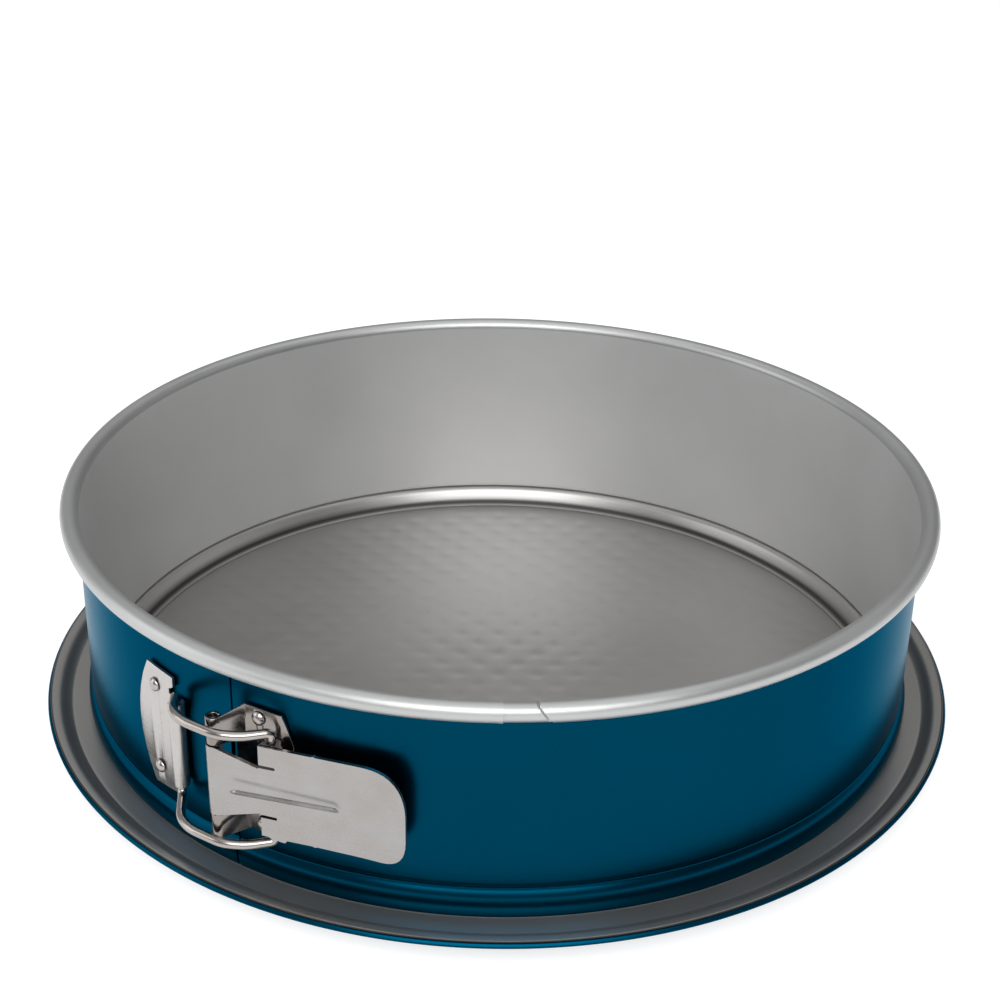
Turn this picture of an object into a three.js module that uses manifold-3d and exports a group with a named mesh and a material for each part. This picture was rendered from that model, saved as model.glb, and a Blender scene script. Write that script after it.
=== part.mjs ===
// Springform pan: a base plate with a drip flange, and a round band that an over-centre
// lever clasp draws tight around it. Millimetres, +Z up, origin on the table below the
// pan's centre. Angles around the pan are in degrees from the front (-Y), growing towards +X.
import * as THREE from 'three';
import { mergeVertices } from 'three/addons/utils/BufferGeometryUtils.js';
import Module from 'manifold-3d';

const wasm = await Module();
wasm.setup();

// ---------------------------------------------------------------- driving dimensions
const INNER_RADIUS = 120; // inside of the closed band
const PAN_HEIGHT = 70; // table to the top of the rim
const BAND_SHEET = 0.6;
const RIM_DIAMETER = 5.2; // roll at the top of the band
const BASE_SHEET = 0.8;
const GUTTER_TOP = 6; // upper face of the flange's gutter above the table
const GUTTER_WIDTH = 6.2; // flat part of the gutter outside the band's foot
const LIP_WIDTH = 6.4; // slope and lip outside the gutter
const LIP_RISE = 2.6; // top of the lip above the gutter
const RISER_RUN = 4.8; // radial run of the curved riser from floor to gutter
const SEAT_GAP = 0.3; // between faces that rest on each other
const SEAM_GAP = 0.4; // between neighbouring lengths of the band

// Clasp
const CLASP_ANGLE = -32.4; // where the lever's pin stands
const PLATE_SHEET = 0.8; // hinge plate and keeper plate
const LEVER_SHEET = 1.0;
const CLASP_HEADROOM = 7.6; // below the rim roll, above the hinge plate
const PLATE_RISE = 19.8; // hinge plate's upper edge above the clasp's middle
const PLATE_DROP = 17; // and its lower edge below
const PIN_RADIUS = 1.05;
const PIN_CLEARANCE = 0.1;
const PIN_STANDOFF = 7; // pin's axis out from the wall
const WIRE_RADIUS = 1.25; // bail
const WIRE_CLEARANCE = 0.1;
const KEEPER_OFFSET = 17.2; // keeper's barrel axis left of the pin
const KEEPER_LIFT = 0.4; // barrel's lowest point above the wall
const LEVER_LENGTH = 50.4;
const LEVER_TILT = 14.8; // closed lever's angle towards the wall
const BAIL_PIVOT_ALONG = 14.5; // bail's end right of the pin
const BAIL_PIVOT_DROP = 4.2; // and nearer the wall than the pin
const EAR_HOLE_CLEARANCE = 0.15;
const RIVET_RADIUS = 1.0;
const RIVET_HEAD_RADIUS = 1.9;
const RIVET_HEAD_HEIGHT = 1.1;
const HOLE_CLEARANCE = 0.15;

// Band joints
const RIM_JOINT = 0.7; // end of the left rim roll
const RIM_JOINT_WIDTH = 8.2; // arc length of the slim roll that shows in the joint
const TONGUE_LENGTH = 19; // overlap behind the left end of the band
const BACK_JOINT = 15; // flex lines, either side of the back
const FRONT_JOINT = 135;
const ARC_STEP = 4; // degrees for one facet around the pan

// ---------------------------------------------------------------- derived dimensions
const outerRadius = INNER_RADIUS + BAND_SHEET;
const rollRadius = RIM_DIAMETER / 2;
const rimZ = PAN_HEIGHT - rollRadius;
const rimBottom = rimZ - rollRadius;
const footZ = GUTTER_TOP + SEAT_GAP;
const grooveTop = footZ + 9;
const claspZ = rimBottom - CLASP_HEADROOM - PLATE_RISE;
const keeperHalf = PLATE_RISE - 1.5;
const bailHalf = PLATE_RISE - 3.8;
const leverHalf = bailHalf - 2.9;
const barrelHalf = leverHalf - 0.9;
const neckHalf = leverHalf - 3.1;
const keeperRivets = [['upper', barrelHalf + 0.2], ['lower', -barrelHalf - 0.2]];
const hingeRivets = [['upper', PLATE_RISE - 2.8], ['lower', 3 - PLATE_DROP]];
const pinRingRadius = outerRadius + PIN_STANDOFF;
const boreRadius = PIN_RADIUS + PIN_CLEARANCE;
const barrelBore = WIRE_RADIUS + WIRE_CLEARANCE;
const barrelRingRadius = outerRadius + KEEPER_LIFT + PLATE_SHEET + barrelBore;
const keeperAngle = CLASP_ANGLE - degrees(Math.asin(KEEPER_OFFSET / barrelRingRadius));
const backAngle = CLASP_ANGLE + 180;
const slitHalf = degrees(SEAT_GAP / outerRadius) / 2;
const seamHalf = degrees(SEAM_GAP / outerRadius) / 2;
const hingeRivetAngle = CLASP_ANGLE + degrees(9 / outerRadius);
const keeperRivetAngle = keeperAngle - degrees(10.2 / outerRadius);

function degrees(radians) {
  return THREE.MathUtils.radToDeg(radians);
}

function radians(angle) {
  return THREE.MathUtils.degToRad(angle);
}

// ---------------------------------------------------------------- solids
function toSolid(geometry) {
  const bare = geometry.clone();
  bare.deleteAttribute('normal');
  bare.deleteAttribute('uv');
  const merged = mergeVertices(bare, 1e-4);
  const mesh = new wasm.Mesh({
    numProp: 3,
    vertProperties: new Float32Array(merged.attributes.position.array),
    triVerts: new Uint32Array(merged.index.array),
  });
  return new wasm.Manifold(mesh);
}

function toGeometry(solid) {
  const mesh = solid.getMesh();
  const geometry = new THREE.BufferGeometry();
  geometry.setAttribute('position', new THREE.BufferAttribute(mesh.vertProperties, 3));
  geometry.setIndex(new THREE.BufferAttribute(mesh.triVerts, 1));
  geometry.computeVertexNormals();
  return geometry;
}

function cut(solid, tools) {
  return tools.reduce((rest, tool) => rest.subtract(tool), solid);
}

// ---------------------------------------------------------------- shapes
class RingArc extends THREE.Curve {
  constructor(radius, from, to) {
    super();
    this.radius = radius;
    this.from = radians(from);
    this.to = radians(to);
  }

  getPoint(t, target = new THREE.Vector3()) {
    const a = this.from + (this.to - this.from) * t;
    return target.set(this.radius * Math.sin(a), -this.radius * Math.cos(a), 0);
  }

  getTangent(t, target = new THREE.Vector3()) {
    const a = this.from + (this.to - this.from) * t;
    return target.set(Math.cos(a), Math.sin(a), 0);
  }
}

// Sweeps a section, given as [radius, height] points, around the pan between two angles.
function sweepRing(section, from, to) {
  const shape = new THREE.Shape(section.map(([r, z]) => new THREE.Vector2(-z, INNER_RADIUS - r)));
  const steps = Math.max(1, Math.ceil((to - from) / ARC_STEP));
  const extrudePath = new RingArc(INNER_RADIUS, from, to);
  return toSolid(new THREE.ExtrudeGeometry(shape, { steps, extrudePath, bevelEnabled: false }));
}

function boxSection(r0, r1, z0, z1) {
  return [[r0, z0], [r1, z0], [r1, z1], [r0, z1]];
}

function circleSection(r, z, radius, sides = 14) {
  return Array.from({ length: sides }, (_, i) => {
    const a = (2 * Math.PI * i) / sides;
    return [r + radius * Math.cos(a), z + radius * Math.sin(a)];
  });
}

// Both sides of a bent sheet, offset from its middle line, as one closed outline.
function ribbon(line, thickness) {
  const points = line.filter((p, i) => i === 0 || p.distanceTo(line[i - 1]) > 1e-3);
  const side = (sign) => points.map((p, i) => {
    const before = p.clone().sub(points[Math.max(i - 1, 0)]).normalize();
    const after = points[Math.min(i + 1, points.length - 1)].clone().sub(p).normalize();
    const along = before.clone().add(after).normalize();
    const stretch = 1 / Math.max(0.5, along.dot(i === 0 ? after : before));
    const offset = new THREE.Vector2(-along.y, along.x).multiplyScalar(sign * stretch * thickness / 2);
    return p.clone().add(offset);
  });
  return new THREE.Shape([...side(1), ...side(-1).reverse()]);
}

// A prism standing along Z, centred on its own height.
function upright(shape, half) {
  const geometry = new THREE.ExtrudeGeometry(shape, { depth: 2 * half, bevelEnabled: false, curveSegments: 8 });
  return toSolid(geometry.translate(0, 0, -half));
}

// A prism through the sheet: the outline is drawn along and up, seen from outside the pan.
function throughSheet(shape, reach = 40) {
  const geometry = new THREE.ExtrudeGeometry(shape, { depth: 2 * reach, bevelEnabled: false, curveSegments: 8 });
  return toSolid(geometry.rotateX(Math.PI / 2).translate(0, reach, 0));
}

function outline(points) {
  return new THREE.Shape(points.map(([x, z]) => new THREE.Vector2(x, z)));
}

// Both halves of an outline that is the same above and below its middle.
function mirrored(upper) {
  return outline([...upper, ...upper.map(([x, z]) => [x, -z]).reverse()]);
}

function radialPlace(radius, angle, z) {
  const a = radians(angle);
  return new THREE.Matrix4()
    .makeRotationZ(a)
    .setPosition(radius * Math.sin(a), -radius * Math.cos(a), z);
}

// Holes for a row of rivets at one angle, in a frame whose origin stands away from the pan's axis.
function rivetHoles(rivets, angle, standoff, middle) {
  const radius = RIVET_RADIUS + HOLE_CLEARANCE;
  return rivets.map(([, height]) => {
    const hole = new THREE.CylinderGeometry(radius, radius, 12, 16);
    hole.applyMatrix4(radialPlace(outerRadius, angle, middle + height));
    return toSolid(hole.translate(0, standoff, 0));
  });
}

// ---------------------------------------------------------------- materials
function metal(color, roughness, metalness) {
  return new THREE.MeshStandardMaterial({ color, roughness, metalness });
}

const bluePaint = metal(0x00445e, 0.3, 0.1);
const nonStick = metal(0x8e8f8e, 0.5, 0.6);
const steel = metal(0xb9bbbc, 0.35, 1);

const pan = new THREE.Group();

function addPart(parent, name, solid, material) {
  const mesh = new THREE.Mesh(toGeometry(solid), material);
  mesh.name = name;
  parent.add(mesh);
  return mesh;
}

// ---------------------------------------------------------------- base plate
function baseSolid() {
  const floorEdge = INNER_RADIUS - RISER_RUN;
  const gutterStart = INNER_RADIUS + 0.4;
  const gutterEnd = outerRadius + 0.3 + GUTTER_WIDTH;
  const rise = GUTTER_TOP - BASE_SHEET;
  const lipTop = GUTTER_TOP + LIP_RISE;
  const line = [
    [floorEdge, 0],
    [floorEdge + 0.24 * RISER_RUN, 0.08 * rise],
    [floorEdge + 0.52 * RISER_RUN, 0.36 * rise],
    [floorEdge + 0.76 * RISER_RUN, 0.76 * rise],
    [floorEdge + 0.92 * RISER_RUN, 0.94 * rise],
    [gutterStart, rise],
    [gutterEnd, rise],
    [gutterEnd + 0.22 * LIP_WIDTH, rise + 0.33 * LIP_RISE],
    [gutterEnd + 0.48 * LIP_WIDTH, rise + 0.9 * LIP_RISE],
    [gutterEnd + 0.7 * LIP_WIDTH, rise + LIP_RISE],
    [gutterEnd + 0.9 * LIP_WIDTH, rise + 0.9 * LIP_RISE],
  ].map(([r, z]) => new THREE.Vector2(r, z + BASE_SHEET / 2));
  const rim = new THREE.Vector2(gutterEnd + LIP_WIDTH, lipTop - BASE_SHEET - 0.6);
  const sheet = ribbon([...line, rim], BASE_SHEET).getPoints();
  const upper = sheet.slice(0, sheet.length / 2);
  const lower = sheet.slice(sheet.length / 2);
  const profile = [
    new THREE.Vector2(0, 0),
    ...lower.reverse(),
    ...upper.reverse(),
    new THREE.Vector2(0, BASE_SHEET),
  ];
  return toSolid(new THREE.LatheGeometry(profile, 360 / ARC_STEP).rotateX(Math.PI / 2));
}

addPart(pan, 'base_plate', baseSolid(), nonStick);

// ---------------------------------------------------------------- band
// The wall's section: a foot and bead at the bottom, a straight wall, and the rolled rim.
function bandSection() {
  const middle = [
    [0.6, 0], [1.1, 1], [1.5, 3], [1.3, 5.6], [0.85, 7], [-0.1, 8.2], [0.3, 9],
  ].map(([r, z]) => new THREE.Vector2(INNER_RADIUS + r, footZ + z));
  const top = new THREE.Vector2(INNER_RADIUS + BAND_SHEET / 2, rimBottom - 1);
  const sheet = ribbon([...middle, top], BAND_SHEET).getPoints().map((p) => [p.x, p.y]);
  const inner = sheet.slice(0, sheet.length / 2);
  const outer = sheet.slice(sheet.length / 2);
  const sides = 12;
  const sweep = 180 + degrees(Math.acos(1 - BAND_SHEET / rollRadius)) - 5;
  const roll = Array.from({ length: sides + 1 }, (_, i) => {
    const a = radians(180 - (sweep * i) / sides);
    return [INNER_RADIUS + rollRadius * (1 + Math.cos(a)), rimZ + rollRadius * Math.sin(a)];
  });
  return [...inner, ...roll.slice(0, -1), [outerRadius, rimBottom + 0.6], ...outer];
}

const wallSection = bandSection();
const leftSlit = CLASP_ANGLE - slitHalf;
const rightSlit = CLASP_ANGLE + slitHalf;
const rimJointEnd = RIM_JOINT + degrees(RIM_JOINT_WIDTH / outerRadius);

function bandLength(name, from, to, finish = (solid) => solid) {
  const solid = finish(sweepRing(wallSection, from + seamHalf, to - seamHalf));
  addPart(pan, name, solid, bluePaint);
}

// The left end keeps its rim roll past the slit, above the right end's wall.
function finishLeftEnd(solid) {
  const extension = circleSection(INNER_RADIUS + rollRadius, rimZ, rollRadius - 0.03);
  const roll = sweepRing(extension, leftSlit - 1.5, RIM_JOINT);
  const holes = rivetHoles(keeperRivets, keeperRivetAngle, 0, claspZ);
  return cut(solid.add(roll), holes);
}

// The right end gives up its roll under the left one, and carries a slim roll in the rim
// joint and a tongue behind the left end's wall.
function finishRightEnd(solid) {
  const clearance = boxSection(INNER_RADIUS - 2, INNER_RADIUS + 8, rimBottom - SEAT_GAP, PAN_HEIGHT + 2);
  const roomForRoll = sweepRing(clearance, CLASP_ANGLE - 1, rimJointEnd);
  const slim = circleSection(INNER_RADIUS + rollRadius, rimZ, rollRadius - 0.4);
  const slimRoll = sweepRing(slim, RIM_JOINT + slitHalf * 2, rimJointEnd + 1.5);
  const tongueTop = rimBottom - 4;
  const tongueBottom = grooveTop + 2;
  const tongueInner = INNER_RADIUS - SEAT_GAP - BAND_SHEET;
  const tongueEnd = CLASP_ANGLE - degrees(TONGUE_LENGTH / INNER_RADIUS);
  const tongue = sweepRing(
    boxSection(tongueInner, tongueInner + BAND_SHEET, tongueBottom, tongueTop), tongueEnd, CLASP_ANGLE + 0.8);
  const joggle = sweepRing(
    boxSection(tongueInner + 0.1, INNER_RADIUS + 0.3, tongueBottom + 0.5, tongueTop - 0.5),
    CLASP_ANGLE + 0.3, CLASP_ANGLE + 0.7);
  const holes = rivetHoles(hingeRivets, hingeRivetAngle, 0, claspZ);
  return cut(solid, [roomForRoll, ...holes]).add(slimRoll).add(tongue).add(joggle);
}

bandLength('band_back', backAngle - BACK_JOINT, backAngle + BACK_JOINT);
bandLength('band_side_right', backAngle - FRONT_JOINT, backAngle - BACK_JOINT);
bandLength('band_side_left', backAngle + BACK_JOINT, backAngle + FRONT_JOINT);
bandLength('band_front_right', rightSlit - seamHalf, backAngle - FRONT_JOINT, finishRightEnd);
bandLength('band_front_left', backAngle + FRONT_JOINT - 360, leftSlit + seamHalf, finishLeftEnd);

// ---------------------------------------------------------------- clasp frames
// In each frame x runs right along the wall, y runs into the pan and z is up.
function claspFrame(radius, angle) {
  const frame = new THREE.Group();
  frame.applyMatrix4(radialPlace(radius, angle, claspZ));
  pan.add(frame);
  return frame;
}

const pinFrame = claspFrame(pinRingRadius, CLASP_ANGLE);
const keeperFrame = claspFrame(barrelRingRadius, keeperAngle);

// ---------------------------------------------------------------- hinge plate and pin
function hingePlateSolid() {
  const rollMiddle = boreRadius + PLATE_SHEET / 2;
  const wallMiddle = outerRadius + SEAT_GAP + PLATE_SHEET / 2;
  const bendAngle = Math.asin(4.8 / wallMiddle);
  const bend = new THREE.Vector2(
    wallMiddle * Math.sin(bendAngle), pinRingRadius - wallMiddle * Math.cos(bendAngle));
  const towardsBend = Math.atan2(bend.y, bend.x);
  const leave = towardsBend - Math.acos(rollMiddle / bend.length());
  const line = new THREE.Path();
  line.absarc(0, 0, rollMiddle, radians(50), leave, false);
  line.absarc(0, pinRingRadius, wallMiddle, bendAngle - Math.PI / 2, Math.asin(18.7 / wallMiddle) - Math.PI / 2, false);
  const roll = line.curves[0].getPoints(14);
  const flat = line.curves[line.curves.length - 1].getPoints(5);
  const plate = upright(ribbon([...roll, ...flat], PLATE_SHEET), PLATE_RISE);
  const shape = outline([
    [-3, PLATE_RISE - 1.8], [1.8, PLATE_RISE - 1.8], [2.8, PLATE_RISE - 1.3], [4.8, PLATE_RISE],
    [15.6, PLATE_RISE - 0.3], [18.6, PLATE_RISE - 8], [18.6, 6 - PLATE_DROP], [15.6, 0.2 - PLATE_DROP],
    [4.8, -PLATE_DROP], [-3, -PLATE_DROP],
  ]);
  const window = mirrored([[-4, neckHalf + 0.3], [3.9, neckHalf + 0.3]]);
  const holes = rivetHoles(hingeRivets, hingeRivetAngle - CLASP_ANGLE, pinRingRadius, 0);
  return cut(plate.intersect(throughSheet(shape)), [throughSheet(window), ...holes]);
}

function pinSolid() {
  const half = PLATE_DROP - 0.5;
  return toSolid(new THREE.CylinderGeometry(PIN_RADIUS, PIN_RADIUS, 2 * half, 20).rotateX(Math.PI / 2));
}

addPart(pinFrame, 'hinge_plate', hingePlateSolid(), steel);
addPart(pinFrame, 'hinge_pin', pinSolid(), steel);

// ---------------------------------------------------------------- lever
// Along the lever from the pin; its ears turn in above and below and take the bail's ends.
function leverSolid() {
  const rollMiddle = boreRadius + LEVER_SHEET / 2;
  const roll = new THREE.Path();
  roll.absarc(0, 0, rollMiddle, radians(55), radians(270), false);
  const crease = LEVER_LENGTH - 12;
  const tip = new THREE.Vector2(LEVER_LENGTH, -rollMiddle - 0.5);
  const line = [
    ...roll.getPoints(14), new THREE.Vector2(crease, -rollMiddle), tip,
  ];
  const sheet = upright(ribbon(line, LEVER_SHEET), leverHalf);
  const shoulder = 12.5;
  const slotEnd = shoulder + 3.8;
  const slotInner = neckHalf - 3.1;
  const slotOuter = slotInner + 0.8;
  const shape = new THREE.Shape();
  shape.moveTo(-4, -neckHalf);
  shape.lineTo(0, -neckHalf);
  shape.lineTo(shoulder, -slotInner);
  shape.lineTo(slotEnd, -slotInner);
  shape.absarc(slotEnd, -(slotInner + slotOuter) / 2, (slotOuter - slotInner) / 2, Math.PI / 2, -Math.PI / 2, true);
  shape.lineTo(shoulder, -slotOuter);
  shape.lineTo(shoulder, -leverHalf);
  shape.lineTo(LEVER_LENGTH - 6, -leverHalf);
  shape.quadraticCurveTo(LEVER_LENGTH, -leverHalf, LEVER_LENGTH, -leverHalf + 8);
  shape.lineTo(LEVER_LENGTH, leverHalf - 12);
  shape.quadraticCurveTo(LEVER_LENGTH, leverHalf, LEVER_LENGTH - 10, leverHalf);
  shape.lineTo(shoulder, leverHalf);
  shape.lineTo(shoulder, slotOuter);
  shape.lineTo(slotEnd, slotOuter);
  shape.absarc(slotEnd, (slotInner + slotOuter) / 2, (slotOuter - slotInner) / 2, Math.PI / 2, -Math.PI / 2, true);
  shape.lineTo(shoulder, slotInner);
  shape.lineTo(0, neckHalf);
  shape.lineTo(-4, neckHalf);
  const pivot = bailPivotOnLever();
  const earHole = new THREE.CylinderGeometry(
    WIRE_RADIUS + EAR_HOLE_CLEARANCE, WIRE_RADIUS + EAR_HOLE_CLEARANCE, 4 * leverHalf, 14);
  const hole = toSolid(earHole.rotateX(Math.PI / 2).translate(pivot.x, pivot.y, 0));
  const earEnd = WIRE_RADIUS + EAR_HOLE_CLEARANCE + 0.7;
  const tab = new THREE.Shape();
  tab.moveTo(shoulder, -rollMiddle);
  tab.lineTo(shoulder + 6.5, -rollMiddle);
  tab.absarc(pivot.x, pivot.y, earEnd, 0, Math.PI, false);
  const ears = [-1, 1].map((side) => {
    const ear = upright(tab, LEVER_SHEET / 2).translate([0, 0, side * (leverHalf - LEVER_SHEET / 2)]);
    return ear.subtract(hole);
  });
  const ribTaper = new THREE.Shape();
  ribTaper.moveTo(5, -2.4);
  ribTaper.lineTo(33, -1.5);
  ribTaper.quadraticCurveTo(34.5, 0, 33, 1.5);
  ribTaper.lineTo(5, 2.4);
  ribTaper.quadraticCurveTo(3.2, 0, 5, -2.4);
  const rib = throughSheet(ribTaper, 0.7).translate([0, -rollMiddle - 0.4, 0]);
  return sheet.intersect(throughSheet(shape)).add(ears[0]).add(ears[1]).add(rib);
}

// The bail's end in the lever's own frame.
function bailPivotOnLever() {
  return new THREE.Vector2(BAIL_PIVOT_ALONG, BAIL_PIVOT_DROP)
    .rotateAround(new THREE.Vector2(), -radians(LEVER_TILT));
}

const leverFrame = new THREE.Group();
leverFrame.rotation.z = radians(LEVER_TILT);
pinFrame.add(leverFrame);
addPart(leverFrame, 'lever', leverSolid(), steel);

// ---------------------------------------------------------------- keeper plate
function keeperSolid() {
  const rollMiddle = barrelBore + PLATE_SHEET / 2;
  const wallMiddle = barrelRingRadius - rollMiddle;
  const boreFace = rollMiddle - PLATE_SHEET / 2 - 0.05;
  const line = new THREE.Path();
  line.absarc(0, 0, rollMiddle, radians(215), radians(450), false);
  const roll = line.getPoints(16);
  const flat = new THREE.Path();
  flat.absarc(0, barrelRingRadius, wallMiddle, -Math.PI / 2, -Math.PI / 2 - Math.asin(20 / wallMiddle), true);
  const plate = upright(ribbon([...roll, ...flat.getPoints(6)], PLATE_SHEET), keeperHalf);
  const shape = new THREE.Shape();
  const corner = -2.8;
  const notch = -4.5;
  shape.moveTo(3, -barrelHalf);
  shape.lineTo(notch, -barrelHalf);
  shape.lineTo(notch, -keeperHalf + 4.6);
  shape.lineTo(corner, -keeperHalf + 3.6);
  shape.lineTo(corner, -keeperHalf + 0.8);
  shape.lineTo(-13.2, -keeperHalf);
  shape.quadraticCurveTo(-23.8, 0, -13.2, keeperHalf);
  shape.lineTo(corner, keeperHalf - 0.8);
  shape.lineTo(corner, keeperHalf - 3.6);
  shape.lineTo(notch, keeperHalf - 4.6);
  shape.lineTo(notch, barrelHalf);
  shape.lineTo(3, barrelHalf);
  const holes = rivetHoles(keeperRivets, keeperRivetAngle - keeperAngle, barrelRingRadius, 0);
  // Above and below the barrel only the flat of the sheet remains.
  const besideBarrel = [-1, 1].map((side) => {
    const box = new THREE.BoxGeometry(8, 10, keeperHalf);
    return toSolid(box.translate(0, boreFace - 5, side * (barrelHalf + keeperHalf / 2)));
  });
  return cut(plate.intersect(throughSheet(shape)), [...holes, ...besideBarrel]);
}

addPart(keeperFrame, 'keeper_plate', keeperSolid(), steel);

// ---------------------------------------------------------------- rivets
function rivetSolid(stack) {
  const head = [[0, stack + SEAT_GAP / 2 + RIVET_HEAD_HEIGHT],
    [RIVET_HEAD_RADIUS * 0.6, stack + SEAT_GAP / 2 + RIVET_HEAD_HEIGHT * 0.85],
    [RIVET_HEAD_RADIUS, stack + SEAT_GAP / 2 + RIVET_HEAD_HEIGHT * 0.3],
    [RIVET_HEAD_RADIUS, stack + SEAT_GAP / 2],
    [RIVET_RADIUS, stack + SEAT_GAP / 2]];
  const foot = -BAND_SHEET - SEAT_GAP;
  const tail = [[RIVET_RADIUS, foot], [RIVET_HEAD_RADIUS, foot], [RIVET_HEAD_RADIUS, foot - 0.4], [0, foot - 0.6]];
  const profile = [...head, ...tail].reverse().map(([r, h]) => new THREE.Vector2(r, h));
  return toSolid(new THREE.LatheGeometry(profile, 14).rotateX(Math.PI));
}

for (const [owner, angle, rivets, stack] of [
  ['keeper', keeperRivetAngle, keeperRivets, KEEPER_LIFT + PLATE_SHEET],
  ['hinge', hingeRivetAngle, hingeRivets, SEAT_GAP + PLATE_SHEET],
]) {
  for (const [where, height] of rivets) {
    const rivet = addPart(pan, `${owner}_rivet_${where}`, rivetSolid(stack), steel);
    rivet.applyMatrix4(radialPlace(outerRadius, angle, claspZ + height));
  }
}

// ---------------------------------------------------------------- bail
// Straight runs joined by rounded corners.
function roundedRoute(points, corner) {
  const route = new THREE.CurvePath();
  let from = points[0];
  for (let i = 1; i < points.length - 1; i += 1) {
    const into = from.clone().sub(points[i]);
    const out = points[i + 1].clone().sub(points[i]);
    const reach = Math.min(corner, into.length() * 0.49, out.length() * 0.49);
    const start = points[i].clone().add(into.setLength(reach));
    const end = points[i].clone().add(out.setLength(reach));
    route.add(new THREE.LineCurve3(from, start));
    route.add(new THREE.QuadraticBezierCurve3(start, points[i].clone(), end));
    from = end;
  }
  route.add(new THREE.LineCurve3(from, points[points.length - 1]));
  return route;
}

function bailSolid() {
  const keeperY = pinRingRadius - Math.sqrt(barrelRingRadius ** 2 - KEEPER_OFFSET ** 2);
  const clearOfKnuckle = boreRadius + PLATE_SHEET + WIRE_RADIUS + 0.7;
  const arm = [
    [BAIL_PIVOT_ALONG, BAIL_PIVOT_DROP],
    [9.5, -1.2],
    [4, -clearOfKnuckle],
    [-6.5, -clearOfKnuckle],
    [-11.5, -1.8],
    [-KEEPER_OFFSET, keeperY],
  ];
  const upper = arm.map(([x, y]) => new THREE.Vector3(x, y, bailHalf));
  const lower = arm.map(([x, y]) => new THREE.Vector3(x, y, -bailHalf)).reverse();
  const stub = leverHalf + 0.4;
  const first = new THREE.Vector3(BAIL_PIVOT_ALONG, BAIL_PIVOT_DROP, stub);
  const last = new THREE.Vector3(BAIL_PIVOT_ALONG, BAIL_PIVOT_DROP, -stub);
  const route = roundedRoute([first, ...upper, ...lower, last], 3);
  const sides = 10;
  const section = new THREE.Shape(Array.from({ length: sides }, (_, i) => {
    const a = (2 * Math.PI * i) / sides;
    return new THREE.Vector2(WIRE_RADIUS * Math.cos(a), WIRE_RADIUS * Math.sin(a));
  }));
  return toSolid(new THREE.ExtrudeGeometry(section, { steps: 90, extrudePath: route, bevelEnabled: false }));
}

addPart(pinFrame, 'bail', bailSolid(), steel);

export default pan;
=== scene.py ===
"""Springform pan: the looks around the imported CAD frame. Metres, Z up, the pan stands on Z = 0.

Angles around the pan are in degrees from the front (-Y), growing towards +X.
Lengths are written in millimetres and turned into metres by MM, apart from bump distances, the
floor, the lights and the camera, which are in metres.
"""

from math import cos, degrees, pi, radians, sin, sqrt

import bmesh
import bpy
import numpy as np
from mathutils import Matrix, Vector


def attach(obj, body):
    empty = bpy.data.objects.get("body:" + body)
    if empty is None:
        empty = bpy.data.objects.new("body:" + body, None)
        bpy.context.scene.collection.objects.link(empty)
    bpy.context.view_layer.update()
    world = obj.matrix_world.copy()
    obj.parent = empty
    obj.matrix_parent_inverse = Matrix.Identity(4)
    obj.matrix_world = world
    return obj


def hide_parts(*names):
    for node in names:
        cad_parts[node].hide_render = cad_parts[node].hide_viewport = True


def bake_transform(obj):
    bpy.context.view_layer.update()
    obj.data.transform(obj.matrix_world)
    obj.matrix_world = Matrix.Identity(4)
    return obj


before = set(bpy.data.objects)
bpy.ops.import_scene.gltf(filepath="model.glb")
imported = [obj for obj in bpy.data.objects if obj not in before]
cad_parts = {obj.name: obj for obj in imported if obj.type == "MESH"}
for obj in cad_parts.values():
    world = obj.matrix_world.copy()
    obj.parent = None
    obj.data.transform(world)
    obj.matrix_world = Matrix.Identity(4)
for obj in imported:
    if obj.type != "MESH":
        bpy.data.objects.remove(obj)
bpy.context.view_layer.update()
MM = 0.001

# ------------------------------------------------------------------ sizes, as in the CAD
INNER = 120.0  # band's inside radius
SHEET = 0.6  # band
OUTER = INNER + SHEET
HEIGHT = 70.0
ROLL = 2.6  # rim roll's radius
RIM_Z = HEIGHT - ROLL
ROLL_RING = INNER + ROLL
BASE_SHEET = 0.8
RISER_RUN = 4.8  # radial run of the riser from floor to gutter
GUTTER_TOP = 6.0
GUTTER_WIDTH = 6.2
LIP_WIDTH = 6.4
LIP_RISE = 2.6
SEAT_GAP = 0.3  # between faces that rest on each other
RISER_PAST = 0.4  # the riser ends this far outside the band's inside radius
FOOT_Z = GUTTER_TOP + SEAT_GAP
SLIT = -32.4  # where the pin and the slit stand
BACK = SLIT + 180
RIM_JOINT = 0.7  # end of the left rim roll
RIM_JOINT_END = RIM_JOINT + degrees(8.2 / OUTER)
CLASP_Z = RIM_Z - ROLL - 7.6 - 19.8  # headroom, then the plate's rise above the clasp's middle
PLATE_SHEET = 0.8
PIN_BORE = 1.15
PIN_RING = OUTER + 7.0  # the pin stands off the wall
WIRE = 1.25
BARREL_BORE = WIRE + 0.1
BARREL_RING = OUTER + 0.4 + PLATE_SHEET + BARREL_BORE
KEEPER_X = 17.2
PIVOT_X, PIVOT_Y = 14.5, 4.2  # bail's ends, right of the pin and nearer the wall
BAIL_HALF = 16.0
LEVER_HALF = 13.1
LEVER_LENGTH = 50.4
LEVER_SHEET = 1.0
LEVER_TILT = 14.8


# ------------------------------------------------------------------ mesh helpers
def ring_point(radius, angle, z):
    a = radians(angle)
    return Vector((radius * sin(a), -radius * cos(a), z)) * MM


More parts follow.
